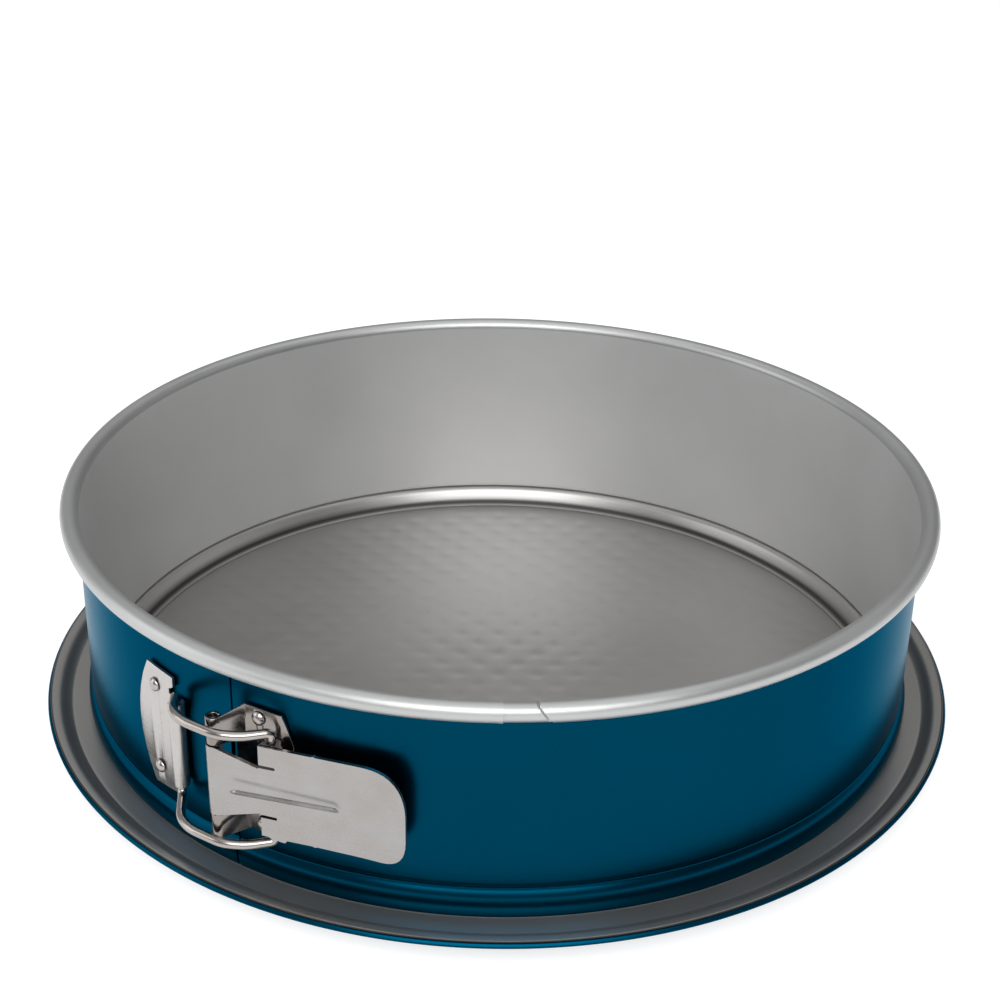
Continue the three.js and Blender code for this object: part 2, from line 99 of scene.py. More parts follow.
def add_object(name, verts, faces, materials, face_materials=None, smooth=True):
    mesh = bpy.data.meshes.new(name)
    mesh.from_pydata([tuple(v) for v in verts], [], faces)
    for m in materials:
        mesh.materials.append(m)
    if face_materials is not None:
        mesh.polygons.foreach_set("material_index", face_materials)
    if smooth:
        mesh.polygons.foreach_set("use_smooth", [True] * len(mesh.polygons))
    mesh.update()
    obj = bpy.data.objects.new(name, mesh)
    bpy.context.collection.objects.link(obj)
    return obj


def sweep(name, section, a0, a1, materials, edge_materials, step=1.0, shape=None, slant=None,
          crease=40.0, cap=0):
    """Sweeps a closed counter-clockwise (radius, height) section from a0 to a1.

    shape(r, z, a) may move a point; slant(r, z) adds degrees to the first end's angle, fading
    over three degrees. Normals are worked out from the surface, so that neighbours match.
    """
    pts = np.array(section, float)
    n = len(pts)
    count = max(2, int(round((a1 - a0) / step)) + 1)
    angles = np.linspace(a0, a1, count)

    def place(j, a):
        r, z = pts[j % n]
        if slant is not None:
            fade = max(0.0, 1 - (a - a0) / 3.0)
            a = a + slant(r, z) * fade
        if shape is not None:
            r, z = shape(r, z, a)
        t = radians(a)
        return np.array([r * sin(t), -r * cos(t), z])

    grid = np.array([[place(j, a) for j in range(n)] for a in angles])
    ahead = np.array([[place(j, a + 0.2) for j in range(n)] for a in angles])
    behind = np.array([[place(j, a - 0.2) for j in range(n)] for a in angles])
    along = ahead - behind
    edges = np.roll(grid, -1, axis=1) - grid
    edges /= np.maximum(np.linalg.norm(edges, axis=2, keepdims=True), 1e-9)
    edge_next = np.cross(along, edges)
    edge_next /= np.maximum(np.linalg.norm(edge_next, axis=2, keepdims=True), 1e-9)
    edge_prev = np.roll(edge_next, 1, axis=1)
    mean = edge_next + edge_prev
    mean /= np.maximum(np.linalg.norm(mean, axis=2, keepdims=True), 1e-9)
    sharp = np.sum(edge_next * edge_prev, axis=2) < cos(radians(crease))

    verts = (grid.reshape(-1, 3) * MM).tolist()
    faces, mats, normals = [], [], []
    for i in range(count - 1):
        for j in range(n):
            k = (j + 1) % n
            faces.append((i * n + j, (i + 1) * n + j, (i + 1) * n + k, i * n + k))
            mats.append(edge_materials[j])
            for ii, jj, own in ((i, j, edge_next), (i + 1, j, edge_next)):
                normals.append(own[ii, jj] if sharp[ii, jj] else mean[ii, jj])
            for ii in (i + 1, i):
                normals.append(edge_next[ii, j] if sharp[ii, k] else mean[ii, k])
    for end, row in ((0, range(n)), (count - 1, range(n - 1, -1, -1))):
        faces.append(tuple(end * n + j for j in row))
        mats.append(cap)
        way = along[end].mean(axis=0) * (-1 if end == 0 else 1)
        way /= np.linalg.norm(way)
        normals.extend([way] * n)
    obj = add_object(name, verts, faces, materials, mats)
    obj.data.normals_split_custom_set([tuple(v) for v in normals])
    return obj


ROLL_SIDES = 24


def circle_section(r, z, radius, sides=ROLL_SIDES):
    return [(r + radius * cos(2 * pi * i / sides), z + radius * sin(2 * pi * i / sides))
            for i in range(sides)]


def tube(name, points, radius, material, sides=16):
    """A round wire along points (millimetres, world), swept without twist, its ends eased."""
    pts = [Vector(p) for p in points]
    normal = None
    verts, faces = [], []
    for i, p in enumerate(pts):
        way = (pts[min(i + 1, len(pts) - 1)] - pts[max(i - 1, 0)]).normalized()
        if normal is None:
            normal = way.orthogonal().normalized()
        normal = (normal - way * normal.dot(way)).normalized()
        side = way.cross(normal)
        scale = 0.72 if i in (0, len(pts) - 1) else 1.0
        for k in range(sides):
            t = 2 * pi * k / sides
            verts.append((p + (normal * cos(t) + side * sin(t)) * radius * scale) * MM)
    for i in range(len(pts) - 1):
        for k in range(sides):
            m = (k + 1) % sides
            faces.append((i * sides + k, i * sides + m, (i + 1) * sides + m, (i + 1) * sides + k))
    faces.append(tuple(range(sides - 1, -1, -1)))
    faces.append(tuple((len(pts) - 1) * sides + k for k in range(sides)))
    return add_object(name, verts, faces, [material])


def smooth_by_angle(obj, angle):
    obj.data.polygons.foreach_set("use_smooth", [True] * len(obj.data.polygons))
    obj.data.set_sharp_from_angle(angle=radians(angle))


def recalculate_normals(obj):
    bm = bmesh.new()
    bm.from_mesh(obj.data)
    bmesh.ops.recalc_face_normals(bm, faces=bm.faces)
    bm.to_mesh(obj.data)
    bm.free()


def evaluated_mesh(obj):
    bpy.context.view_layer.update()
    graph = bpy.context.evaluated_depsgraph_get()
    return bpy.data.meshes.new_from_object(obj.evaluated_get(graph))


def offset_line(line, distance):
    pts = np.array(line, float)
    ways = np.gradient(pts, axis=0)
    ways /= np.linalg.norm(ways, axis=1, keepdims=True)
    return pts + np.stack([ways[:, 1], -ways[:, 0]], axis=1) * distance


def rounded(points, per_span=4):
    """A smooth curve through the points."""
    pts = np.array(points, float)
    out = []
    for i in range(len(pts) - 1):
        p0, p1, p2 = pts[max(i - 1, 0)], pts[i], pts[i + 1]
        p3 = pts[min(i + 2, len(pts) - 1)]
        m1, m2 = (p2 - p0) * 0.5, (p3 - p1) * 0.5
        for t in np.linspace(0, 1, per_span + 1)[:-1]:
            out.append((2 * t**3 - 3 * t**2 + 1) * p1 + (t**3 - 2 * t**2 + t) * m1
                       + (-2 * t**3 + 3 * t**2) * p2 + (t**3 - t**2) * m2)
    out.append(pts[-1])
    return np.array(out)


def smooth_step(value):
    value = min(1.0, max(0.0, value))
    return value * value * (3 - 2 * value)


def add_bevel(obj, width, angle=40):
    obj.modifiers.new("weld", "WELD").merge_threshold = 0.02 * MM
    bevel = obj.modifiers.new("edge", "BEVEL")
    bevel.width = width * MM
    bevel.segments = 2
    bevel.limit_method = "ANGLE"
    bevel.angle_limit = radians(angle)
    bevel.use_clamp_overlap = True
    bevel.harden_normals = False


# ------------------------------------------------------------------ materials
def new_material(name, base, metallic, roughness, **values):
    material = bpy.data.materials.new(name)
    material.use_nodes = True
    tree = material.node_tree
    shader = tree.nodes["Principled BSDF"]
    shader.inputs["Base Color"].default_value = (*base, 1)
    shader.inputs["Metallic"].default_value = metallic
    shader.inputs["Roughness"].default_value = roughness
    for key, value in values.items():
        shader.inputs[key.replace("_", " ")].default_value = value
    return material, tree, shader


def coords(tree, scale=(1, 1, 1)):
    source = tree.nodes.new("ShaderNodeTexCoord")
    mapping = tree.nodes.new("ShaderNodeMapping")
    mapping.inputs["Scale"].default_value = scale
    tree.links.new(source.outputs["Object"], mapping.inputs["Vector"])
    return mapping.outputs["Vector"]


def noise(tree, vector, scale, detail=3.0, roughness=0.55):
    node = tree.nodes.new("ShaderNodeTexNoise")
    node.inputs["Scale"].default_value = scale
    node.inputs["Detail"].default_value = detail
    node.inputs["Roughness"].default_value = roughness
    tree.links.new(vector, node.inputs["Vector"])
    return node.outputs["Fac"]


def ranged(tree, value, low, high, from_low=0.3, from_high=0.7):
    node = tree.nodes.new("ShaderNodeMapRange")
    node.inputs["From Min"].default_value = from_low
    node.inputs["From Max"].default_value = from_high
    node.inputs["To Min"].default_value = low
    node.inputs["To Max"].default_value = high
    tree.links.new(value, node.inputs["Value"])
    return node.outputs["Result"]


def two_tone(tree, shader, fac, first, second):
    ramp = tree.nodes.new("ShaderNodeValToRGB")
    ramp.color_ramp.elements[0].position = 0.3
    ramp.color_ramp.elements[1].position = 0.7
    ramp.color_ramp.elements[0].color = (*first, 1)
    ramp.color_ramp.elements[1].color = (*second, 1)
    tree.links.new(fac, ramp.inputs["Fac"])
    tree.links.new(ramp.outputs["Color"], shader.inputs["Base Color"])


def bump(tree, shader, height, strength, distance):
    node = tree.nodes.new("ShaderNodeBump")
    node.inputs["Strength"].default_value = strength
    node.inputs["Distance"].default_value = distance
    tree.links.new(height, node.inputs["Height"])
    tree.links.new(node.outputs["Normal"], shader.inputs["Normal"])


def paint_shade_ring(tree, shader, radius, half_width):
    """A thin painted shade line at one radius from the pan's axis, where the sheet is folded: the
    colour is darkened there to stand in for the shade in the fold.
    """
    flat = tree.nodes.new("ShaderNodeVectorMath")
    flat.operation = "LENGTH"
    tree.links.new(coords(tree, (1, 1, 0)), flat.inputs[0])
    away = tree.nodes.new("ShaderNodeMath")
    away.operation = "SUBTRACT"
    away.inputs[1].default_value = radius * MM
    tree.links.new(flat.outputs["Value"], away.inputs[0])
    size = tree.nodes.new("ShaderNodeMath")
    size.operation = "ABSOLUTE"
    tree.links.new(away.outputs[0], size.inputs[0])
    fac = ranged(tree, size.outputs[0], 0.14, 1.0, 0.2 * half_width * MM, half_width * MM)
    mix = tree.nodes.new("ShaderNodeVectorMath")
    mix.operation = "SCALE"
    tree.links.new(shader.inputs["Base Color"].links[0].from_socket, mix.inputs[0])
    tree.links.new(fac, mix.inputs["Scale"])
    tree.links.new(mix.outputs["Vector"], shader.inputs["Base Color"])


def coated_metal(name, base, metallic, rough, peel, tint_change=0.05, mottling=18, shade_rings=(),
                 edge=(1, 1, 1)):
    """Paint or coating: soft mottling, orange-peel bump, slightly uneven gloss and painted shade
    lines at the given radii.
    """
    material, tree, shader = new_material(name, base, metallic, rough[0])
    shader.inputs["Specular Tint"].default_value = (*edge, 1)
    vector = coords(tree)
    broad = noise(tree, vector, mottling, 4)
    fine = noise(tree, vector, 900, 2)
    darker = tuple(c * (1 - tint_change) for c in base)
    lighter = tuple(min(1, c * (1 + tint_change)) for c in base)
    two_tone(tree, shader, broad, darker, lighter)
    tree.links.new(ranged(tree, broad, rough[0], rough[1]), shader.inputs["Roughness"])
    bump(tree, shader, fine, peel, 0.00004)
    # painted shade: the colour is darkened in thin lines at these radii
    for radius, half_width in shade_rings:
        paint_shade_ring(tree, shader, radius, half_width)
    return material


def brushed_metal(name, base, rough, grain=(40, 40, 1600), strength=0.12):
    """Plated sheet: fine rolling lines, cloudy gloss and a faint warm cast."""
    material, tree, shader = new_material(name, base, 1.0, rough[0])
    lines = noise(tree, coords(tree, grain), 1.0, 3)
    cloud = noise(tree, coords(tree), 120, 4)
    warm = tuple(c * k for c, k in zip(base, (0.93, 0.88, 0.85)))
    two_tone(tree, shader, cloud, warm, base)
    mixed = tree.nodes.new("ShaderNodeMath")
    mixed.operation = "MULTIPLY"
    tree.links.new(lines, mixed.inputs[0])
    tree.links.new(cloud, mixed.inputs[1])
    tree.links.new(ranged(tree, mixed.outputs[0], rough[0], rough[1], 0.1, 0.4),
                   shader.inputs["Roughness"])
    bump(tree, shader, lines, strength, 0.00003)
    return material


# Radii of the base plate's fold at the floor's edge and of the coating's end on the lip; painted
# shade lines lie near both.
FLOOR_EDGE = INNER - RISER_RUN
HEM_RING = OUTER + SEAT_GAP + GUTTER_WIDTH + LIP_WIDTH - 0.55
BLUE = (0.0, 0.042, 0.082)
BLUE_EDGE = (0.42, 0.62, 0.75)

blue = coated_metal("blue_paint", BLUE, 1.0, (0.24, 0.31), 0.12, edge=BLUE_EDGE)
blue_under = coated_metal("blue_paint_under", BLUE, 1.0, (0.3, 0.4), 0.15, edge=BLUE_EDGE)
grey_wall = coated_metal("grey_coating", (0.6, 0.6, 0.602), 0.62, (0.42, 0.5), 0.2)
# The base coating gets painted shade lines: one in the crease where the floor meets the riser, one
# at the gap by the lip's edge.
grey_base = coated_metal("grey_coating_base", (0.37, 0.363, 0.352), 0.84, (0.3, 0.38), 0.2,
                         shade_rings=((FLOOR_EDGE + 1.4, 1.4), (HEM_RING - 0.2, 0.35)))
rim_metal = coated_metal("rim_coating", (0.48, 0.485, 0.485), 0.9, (0.4, 0.48), 0.15)
sheet_steel = brushed_metal("sheet_steel", (0.37, 0.365, 0.36), (0.22, 0.36))
keeper_steel = brushed_metal("keeper_steel", (0.5, 0.495, 0.49), (0.24, 0.38))
hinge_steel = brushed_metal("hinge_steel", (0.28, 0.262, 0.25), (0.12, 0.24), (60, 60, 500))
wire_steel = brushed_metal("wire_steel", (0.4, 0.38, 0.365), (0.16, 0.28), (300, 300, 60), 0.08)
rivet_steel = brushed_metal("rivet_steel", (0.42, 0.41, 0.4), (0.18, 0.3), (200, 200, 200), 0.1)


# ------------------------------------------------------------------ base plate
DIMPLE_PITCH = 8.4
DIMPLE_DEPTH = 0.2
DIMPLE_AREA = 109.0
CREASE_DEPTH = 0.22  # line pressed where the floor meets the riser
CREASE_WIDTH = 0.4


def dimple(x, y, r):
    """Height of the pressed floor: staggered shallow dimples that stop before the edge."""
    u = 2 * pi * (x + y) / (DIMPLE_PITCH * sqrt(2))
    v = 2 * pi * (x - y) / (DIMPLE_PITCH * sqrt(2))
    wave = (0.5 + 0.5 * np.cos(u)) * (0.5 + 0.5 * np.cos(v))
    fade = np.clip((DIMPLE_AREA - r) / 2.5, 0, 1)
    return -DIMPLE_DEPTH * fade * wave ** 1.6


def base_profile():
    """The sheet's middle line outside the flat floor, as in the CAD, rounded."""
    rise = GUTTER_TOP - BASE_SHEET
    run, lip, top = RISER_RUN, LIP_WIDTH, LIP_RISE
    start, end = INNER + RISER_PAST, OUTER + SEAT_GAP + GUTTER_WIDTH
    raw = [(FLOOR_EDGE - 1, 0), (FLOOR_EDGE, 0), (FLOOR_EDGE + 0.24 * run, 0.08 * rise),
           (FLOOR_EDGE + 0.52 * run, 0.36 * rise), (FLOOR_EDGE + 0.76 * run, 0.76 * rise),
           (FLOOR_EDGE + 0.92 * run, 0.94 * rise), (start, rise), (start + 1.5, rise),
           (end - 1.2, rise), (end, rise), (end + 0.22 * lip, rise + 0.33 * top),
           (end + 0.48 * lip, rise + 0.9 * top), (end + 0.7 * lip, rise + top),
           (end + 0.9 * lip, rise + 0.92 * top), (end + lip - 0.05, rise + 0.66 * top)]
    return rounded(raw) + np.array([0, BASE_SHEET / 2])


def build_base():
    """One closed sheet: dimpled floor, riser, gutter and lip, and a flat underside."""
    line = base_profile()
    top = offset_line(line, -BASE_SHEET / 2)
    under = offset_line(line, BASE_SHEET / 2)
    way = line[-1] - line[-2]
    tip = line[-1] + way / np.linalg.norm(way) * 0.32
    ring_step = 1.15
    inner_rings = np.arange(ring_step, FLOOR_EDGE - 1.3, ring_step)
    under_rings = np.arange(2 * ring_step, FLOOR_EDGE - 1.3, 2 * ring_step)
    profile = [(r, BASE_SHEET) for r in inner_rings]
    profile += [(r, z - CREASE_DEPTH * np.exp(-((r - FLOOR_EDGE) / CREASE_WIDTH) ** 2))
                for r, z in top]
    hem = next(i for i, p in enumerate(profile) if p[0] > HEM_RING)
    profile.insert(hem, (profile[hem][0] - 0.12, profile[hem][1] - 0.25))
    profile += [tuple(tip)] + [tuple(p) for p in under[::-1]]
    profile += [(r, 0.0) for r in under_rings[::-1]]
    segments = 600
    t = np.linspace(0, 2 * pi, segments, endpoint=False)
    rows = []
    for i, (r, z) in enumerate(profile):
        x, y = r * np.sin(t), -r * np.cos(t)
        h = np.full(segments, float(z))
        if i < len(inner_rings):
            h = h + dimple(x, y, r)
        rows.append(np.stack([x, y, h], axis=1))
    centre_top = np.array([0, 0, BASE_SHEET + float(dimple(0.0, 0.0, 0.0))])
    centre_under = np.array([0, 0, 0.0])
    verts = np.vstack(rows + [[centre_top], [centre_under]]) * MM
    faces, mats = [], []
    total = len(rows)
    for i in range(total - 1):
        a, b = i * segments, (i + 1) * segments
        side = 0 if i <= hem else 1
        for k in range(segments):
            m = (k + 1) % segments
            faces.append((a + k, b + k, b + m, a + m))
            mats.append(side)
    for k in range(segments):
        m = (k + 1) % segments
        faces.append((total * segments, k, m))
        mats.append(0)
        last = (total - 1) * segments
        faces.append((total * segments + 1, last + m, last + k))
        mats.append(1)
    obj = add_object("base_plate_sheet", verts.tolist(), faces, [grey_base, blue_under], mats)
    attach(obj, "base")
    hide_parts("base_plate")


build_base()


# ------------------------------------------------------------------ band
# Middle line of the foot: (outside the band's inner radius, above the foot's edge).
FOOT = [(0.6, 0), (1.1, 1.0), (1.5, 3.0), (1.3, 5.4), (0.8, 6.8), (0.05, 8.2), (0.3, 9.2)]


def wall_middle(top):
    foot = rounded([(INNER + r, FOOT_Z + z) for r, z in FOOT])
    heights = np.linspace(FOOT_Z + 10.2, top, 22)
    return np.vstack([foot, [(INNER + SHEET / 2, z) for z in heights]])


def inner_face(middle):
    """The inside stays plain down to the foot; only the outside shows the bead and groove."""
    line = offset_line(middle, -SHEET / 2)
    line[:, 0] = np.where(line[:, 1] > FOOT_Z + 0.6, INNER, np.minimum(line[:, 0], INNER + 0.3))
    return line


def wall_section(top):
    """Inside up, outside down, with the outer edge's materials marked."""
    middle = wall_middle(top)
    inner = inner_face(middle)
    outer = offset_line(middle, SHEET / 2)
    points = [tuple(p) for p in outer] + [tuple(p) for p in inner[::-1]]
    marks = [1] * len(outer) + [0] * len(inner)
    return points, marks


def band_section():
    """Wall and rim roll as one closed outline, counter-clockwise."""
    middle = wall_middle(RIM_Z - ROLL + 0.6)
    inner = inner_face(middle)
    outer = offset_line(middle, SHEET / 2)
    sides = 26
    end = -152.0
    roll = []
    for i in range(sides + 1):
        a = radians(end + (180 - end) * i / sides)
        roll.append((ROLL_RING + ROLL * cos(a), RIM_Z + ROLL * sin(a)))
    points = [tuple(p) for p in outer] + roll + [tuple(p) for p in inner[::-1]]
    marks = [1] * len(outer) + [2] * sides + [0] * (len(inner) + 1)
    return points, marks


EMBOSS = (SLIT - 7.8, CLASP_Z - 12.6, CLASP_Z + 12.4)  # left edge in degrees, low and high edge
EMBOSS_DEPTH = 0.75
ROLL_SLANT = 1.7  # degrees that the rolled rim's cut leans by, from top to bottom


def left_emboss(r, z, a):
    """Shallow pocket pressed outwards beside the slit, behind the clasp."""
    if z > RIM_Z - ROLL:
        return r, z
    left, low, high = EMBOSS
    corner = 3.0
    across = smooth_step((a - left) / 0.9)
    dx = (a - left) * OUTER * pi / 180
    round_off = max(0.0, corner - dx) ** 2 / (2 * corner)
    up = smooth_step((high - round_off - z) / 1.6) * smooth_step((z - low - round_off) / 1.6)
    return r + EMBOSS_DEPTH * across * up, z


def slanted_roll(r, z):
    """The rolled rim is cut off at a slant; the wall below it is not."""
    if z > RIM_Z - ROLL - 1.5 and (r > OUTER + 0.2 or z > RIM_Z - 0.8):
        return (RIM_Z + ROLL - z) / (2 * ROLL) * ROLL_SLANT
    return 0.0


band_materials = [grey_wall, blue, rim_metal]
section, marks = band_section()
slit_gap = degrees(0.28 / OUTER)
left_back = BACK - 360  # the same place, reached round the left side
seam_right, seam_left = BACK - 24, left_back + 24


def flex(obj):
    """Bakes a length of the band's placement into its mesh."""
    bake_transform(obj)


back_right = sweep("band_back_right", section, seam_right, BACK, band_materials, marks)
flex(back_right)
back_left = sweep("band_back_left", section, left_back, seam_left, band_materials, marks)
flex(back_left)

right = sweep("band_right", section, RIM_JOINT_END, seam_right, band_materials, marks,
              slant=slanted_roll, cap=2)
flex(right)

left = sweep("band_left", section, seam_left, SLIT - slit_gap, band_materials, marks,
             shape=left_emboss, step=0.5, cap=1)
flex(left)

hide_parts("band_back")
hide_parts("band_side_right", "band_front_right")
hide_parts("band_side_left", "band_front_left")

# Right end: the wall under the left roll, the slim roll in the rim joint and the overlap.
wall, wall_marks = wall_section(RIM_Z - 1.4)
front_wall = sweep("band_right_front", wall, SLIT + slit_gap, RIM_JOINT_END, [grey_wall, blue],
                   wall_marks, cap=1)


def rim_hairline(r, z, a):
    """A fine slanting gap in the joint, just before the right length's roll begins."""
    line = RIM_JOINT_END - 0.13 + (RIM_Z + ROLL - z) / (2 * ROLL) * ROLL_SLANT
    scale = 1 - 0.3 * max(0.0, 1 - abs(a - line) / 0.14)
    return ROLL_RING + (r - ROLL_RING) * scale, RIM_Z + (z - RIM_Z) * scale


def tail_end(r, z, a):
    """The left roll swells a little at its cut end."""
    scale = 1 + 0.05 * smooth_step((a - RIM_JOINT + 0.5) / 0.3)
    return ROLL_RING + (r - ROLL_RING) * scale, RIM_Z + (z - RIM_Z) * scale


roll_marks = [0] * ROLL_SIDES
slim = sweep("rim_joint_core", circle_section(ROLL_RING - 0.03, RIM_Z - 0.03, ROLL - 0.2),
             RIM_JOINT - 1.5, RIM_JOINT_END + 2.4, [rim_metal], roll_marks, shape=rim_hairline,
             step=0.07)
tail = sweep("rim_overlap", circle_section(ROLL_RING, RIM_Z, ROLL), SLIT - slit_gap, RIM_JOINT,
             [rim_metal], roll_marks, shape=tail_end, step=0.3)
low, high = 7.4, 63.9
tongue_section = [(INNER - 0.9, low + 0.9), (INNER - 0.3, low), (INNER - 0.3, high),
                  (INNER - 0.9, high - 0.9)]
tongue = sweep("band_overlap", tongue_section, SLIT - 9, SLIT + 0.8, [grey_wall, blue],
               [0, 1, 0, 0], cap=1)
step_section = [(INNER - 0.8, low + 1), (INNER + 0.4, low + 1), (INNER + 0.4, high - 1),
                (INNER - 0.8, high - 1)]
step = sweep("band_overlap_step", step_section, SLIT + 0.25, SLIT + 0.75, [grey_wall, blue],
             [0, 1, 0, 0], cap=1)
for piece, body, node in ((front_wall, "front_right", "band_front_right"),
                          (slim, "front_right", "band_front_right"),
                          (tongue, "front_right", "band_front_right"),
                          (step, "front_right", "band_front_right"),
                          (tail, "front_left", "band_front_left")):
    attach(piece, body)

# ------------------------------------------------------------------ clasp
to_pin = Matrix.Translation(ring_point(PIN_RING, SLIT, CLASP_Z)) @ Matrix.Rotation(
    radians(SLIT), 4, "Z")
to_lever = to_pin @ Matrix.Rotation(radians(LEVER_TILT), 4, "Z")


def polygon_prism(name, points, low, high, material):
    """A closed prism over an outline in (x, z), from low to high in y, in mm."""
    verts, faces = [], []
    n = len(points)
    for h in (low, high):
        for p, q in points:
            verts.append(Vector((p, h, q)) * MM)
    faces.append(tuple(range(n)))
    faces.append(tuple(range(2 * n - 1, n - 1, -1)))
    for i in range(n):
        k = (i + 1) % n
        faces.append((i, i + n, k + n, k))
    obj = add_object(name, verts, faces, [material], smooth=False)
    recalculate_normals(obj)
    return obj


def arc(cx, cy, radius, a0, a1, count):
    return [(cx + radius * cos(radians(a0 + (a1 - a0) * i / count)),
             cy + radius * sin(radians(a0 + (a1 - a0) * i / count))) for i in range(count + 1)]


def bezier(p0, p1, p2, count=8):
    return [tuple((1 - t) ** 2 * a + 2 * t * (1 - t) * b + t * t * c
                  for a, b, c in zip(p0, p1, p2)) for t in np.linspace(0, 1, count + 1)]


def lever_outline():
    """Seen from outside: u along the lever, z up. Neck, slots, wide grip with a round end."""
    shoulder, slot_end = 12.5, 16.4
    slot_mid, slot_half = 7.3, 0.42
    end = LEVER_LENGTH
    pts = [(-4, -10.0), (0.6, -10.0), (shoulder - 0.3, -slot_mid + slot_half + 0.3),
           (shoulder, -slot_mid + slot_half)]
    pts += arc(slot_end, -slot_mid, slot_half, 90, -90, 6)
    pts += [(shoulder, -slot_mid - slot_half), (shoulder, -LEVER_HALF), (14.2, -LEVER_HALF)]
    pts += [(15.2, -LEVER_HALF - 0.55), (18.6, -LEVER_HALF - 0.9), (19.3, -LEVER_HALF - 0.1),
            (26.0, -LEVER_HALF), (26.6, -LEVER_HALF - 0.25), (27.2, -LEVER_HALF)]
    pts += bezier((end - 6.4, -LEVER_HALF - 0.2), (end, -LEVER_HALF - 0.2), (end, -LEVER_HALF + 7.5))
    pts += [(end, 1.0)]
    pts += bezier((end, 1.6), (end - 0.4, LEVER_HALF - 0.2), (end - 10.5, LEVER_HALF), 10)
    pts += [(27.4, LEVER_HALF), (26.8, LEVER_HALF + 0.2), (26.2, LEVER_HALF), (shoulder, LEVER_HALF),
            (shoulder, slot_mid + slot_half)]
    pts += arc(slot_end, slot_mid, slot_half, 90, -90, 6)
    pts += [(shoulder, slot_mid - slot_half), (shoulder - 0.3, slot_mid - slot_half - 0.3),
            (0.6, 10.0), (-4, 10.0)]
    return pts


def groove(u, z):
    """Depth of the stamped tapered groove along the lever's middle."""
    if u < 2.5 or u > 36:
        return 0.0
    half = 2.8 - 0.035 * (u - 3)
    ends = smooth_step((u - 3.4) / 2.4) * smooth_step((34.2 - u) / 2.4)
    top = smooth_step((half + 0.6 - z) / 3.0)
    bottom = smooth_step((z + half) / 1.3)
    return 0.7 * ends * top * bottom


def build_lever():
    """Sheet rolled round the pin, run out straight and bent at the tip, then cut to outline."""
    middle = PIN_BORE + LEVER_SHEET / 2
    roll_steps = 26
    bend = 38.0
    line = arc(0, 0, middle, 55, 270, roll_steps)
    line += [(u, -middle) for u in np.arange(0.5, bend, 0.5)]
    line += [(u, -middle - 0.5 * ((u - bend) / (LEVER_LENGTH - bend)) ** 1.3)
             for u in np.arange(bend, LEVER_LENGTH + 0.9, 0.6)]
    path = np.array(line)
    ways = np.gradient(path, axis=0)
    ways /= np.linalg.norm(ways, axis=1, keepdims=True)
    out = np.stack([ways[:, 1], -ways[:, 0]], axis=1)
    levels = np.arange(-14.4, 14.41, 0.2)
    outer, inner = [], []
    for i, p in enumerate(path):
        for z in levels:
            d = groove(p[0], z) if i > roll_steps else 0.0
            for store, side in ((outer, LEVER_SHEET / 2), (inner, -LEVER_SHEET / 2)):
                q = p + out[i] * (side - d)
                store.append(Vector((q[0], q[1], z)) * MM)
    rows, cols = len(path), len(levels)
    verts = outer + inner
    base = rows * cols
    faces = []
    for i in range(rows - 1):
        for j in range(cols - 1):
            a, b, c, d = i * cols + j, (i + 1) * cols + j, (i + 1) * cols + j + 1, i * cols + j + 1
            faces.append((a, b, c, d))
            faces.append((base + a, base + d, base + c, base + b))
    for j in range(cols - 1):
        for i, flip in ((0, False), (rows - 1, True)):
            a, b = i * cols + j, i * cols + j + 1
            quad = (a, b, base + b, base + a)
            faces.append(quad[::-1] if flip else quad)
    for i in range(rows - 1):
        for j, flip in ((0, True), (cols - 1, False)):
            a, b = i * cols + j, (i + 1) * cols + j
            quad = (a, b, base + b, base + a)
            faces.append(quad[::-1] if flip else quad)
    sheet = add_object("lever_sheet", verts, faces, [sheet_steel])
    recalculate_normals(sheet)
    cutter = polygon_prism("lever_outline", lever_outline(), -6, 6, sheet_steel)
    boolean = sheet.modifiers.new("outline", "BOOLEAN")
    boolean.operation = "INTERSECT"
    boolean.object = cutter
    boolean.solver = "EXACT"
    cut_mesh = evaluated_mesh(sheet)
    sheet.modifiers.clear()
    sheet.data = cut_mesh
    bpy.data.objects.remove(cutter)
    smooth_by_angle(sheet, 35)
    add_bevel(sheet, 0.14, angle=50)
    sheet.matrix_world = to_lever
    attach(sheet, "lever")
    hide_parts("lever")


def build_ears():
    """Tabs folded in from the lever's edges, with the holes that take the bail."""
    tilt = radians(LEVER_TILT)
    px = PIVOT_X * cos(tilt) + PIVOT_Y * sin(tilt)
    py = -PIVOT_X * sin(tilt) + PIVOT_Y * cos(tilt)
    outer = [(12.5, -1.6), (19.0, -1.6)] + arc(px, py, 2.1, 0, 180, 14)
    hole = arc(px, py, WIRE + 0.12, 0, 360, 24)[:-1]
    for name, side in (("upper", 1), ("lower", -1)):
        curve = bpy.data.curves.new(f"lever_ear_{name}", "CURVE")
        curve.dimensions = "2D"
        curve.fill_mode = "BOTH"
        curve.extrude = 0.4 * MM
        curve.bevel_depth = 0.1 * MM
        curve.bevel_resolution = 1
        for loop in (outer, hole):
            spline = curve.splines.new("POLY")
            spline.points.add(len(loop) - 1)
            for point, (x, y) in zip(spline.points, loop):
                point.co = (x * MM, y * MM, 0, 1)
            spline.use_cyclic_u = True
        source = bpy.data.objects.new(f"ear_source_{name}", curve)
        bpy.context.collection.objects.link(source)
        mesh = evaluated_mesh(source)
        bpy.data.objects.remove(source)
        mesh.materials.clear()
        mesh.materials.append(sheet_steel)
        ear = bpy.data.objects.new(f"lever_ear_{name}", mesh)
        bpy.context.collection.objects.link(ear)
        ear.matrix_world = to_lever @ Matrix.Translation((0, 0, side * (LEVER_HALF - 0.5) * MM))
        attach(ear, "lever")


build_lever()
build_ears()


